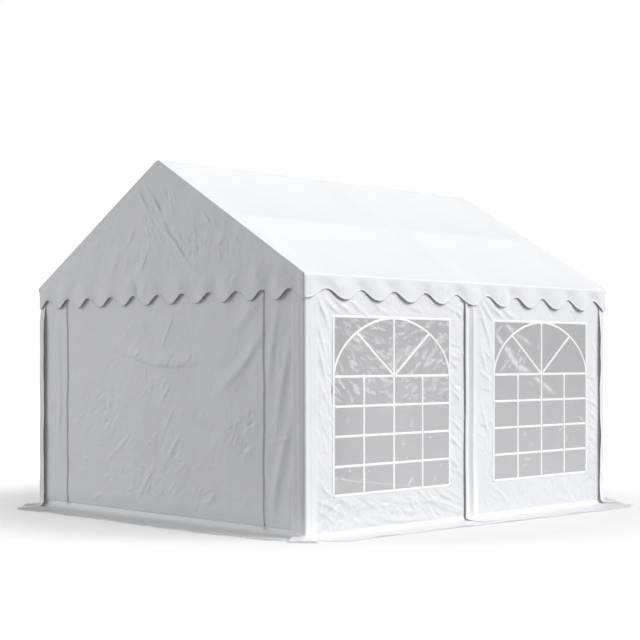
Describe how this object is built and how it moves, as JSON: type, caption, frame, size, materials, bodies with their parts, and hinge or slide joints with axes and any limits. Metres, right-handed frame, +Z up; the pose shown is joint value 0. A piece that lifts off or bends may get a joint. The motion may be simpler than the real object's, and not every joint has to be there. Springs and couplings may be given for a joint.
{
  "type": "marquee tent",
  "caption": "Gabled white marquee tent on a steel tube frame, with scalloped valances, arched lattice windows and zipped gable doors.",
  "frame": {"origin": "on the ground, under the middle of the tent", "axes": "+X across the gables to the right, +Y along the ridge away from the front gable, +Z up"},
  "size_m": [4.33, 4.66, 3.05],
  "materials": {
    "white_pvc": "coated white PVC sheet, slightly glossy, with fine creases",
    "window_film": "clear soft PVC film, crinkled",
    "window_bar": "white PVC tape welded on the film",
    "zip": "pale grey zip tape and coil",
    "frame_steel": "galvanised steel tube"
  },
  "bodies": {
    "root": {"post_front_left": "frame_steel", "post_front_right": "frame_steel", "post_middle_left": "frame_steel", "post_middle_right": "frame_steel", "post_back_left": "frame_steel", "post_back_right": "frame_steel", "eave_connector_front_left": "frame_steel", "eave_connector_front_right": "frame_steel", "eave_connector_middle_left": "frame_steel", "eave_connector_middle_right": "frame_steel", "eave_connector_back_left": "frame_steel", "eave_connector_back_right": "frame_steel", "ridge_connector_front": "frame_steel", "ridge_connector_middle": "frame_steel", "ridge_connector_back": "frame_steel", "rafter_front_left": "frame_steel", "rafter_front_right": "frame_steel", "rafter_middle_left": "frame_steel", "rafter_middle_right": "frame_steel", "rafter_back_left": "frame_steel", "rafter_back_right": "frame_steel", "ridge_tube_front": "frame_steel", "ridge_tube_back": "frame_steel", "purlin_left": "frame_steel", "purlin_right": "frame_steel", "gable_tube_front": "frame_steel", "gable_tube_back": "frame_steel", "eave_tube_front_left": "frame_steel", "eave_tube_front_right": "frame_steel", "eave_tube_back_left": "frame_steel", "eave_tube_back_right": "frame_steel", "roof_slope_left": "white_pvc", "roof_slope_right": "white_pvc", "gable_front": "white_pvc", "gable_back": "white_pvc", "side_wall_front_left": "white_pvc", "side_wall_front_right": "white_pvc", "side_wall_back_left": "white_pvc", "side_wall_back_right": "white_pvc", "window_front_left": "window_film", "window_front_right": "window_film", "window_back_left": "window_film", "window_back_right": "window_film", "door_front": "white_pvc", "door_back": "white_pvc", "gable_strip_front_left": "white_pvc", "gable_strip_front_right": "white_pvc", "gable_strip_back_left": "white_pvc", "gable_strip_back_right": "white_pvc", "corner_sleeve_front_left": "white_pvc", "corner_sleeve_front_right": "white_pvc", "corner_sleeve_back_left": "white_pvc", "corner_sleeve_back_right": "white_pvc", "post_cover_left": "white_pvc", "post_cover_right": "white_pvc", "ground_flap_front": "white_pvc", "ground_flap_back": "white_pvc", "ground_flap_left": "white_pvc", "ground_flap_right": "white_pvc"}
  },
  "joints": []
}
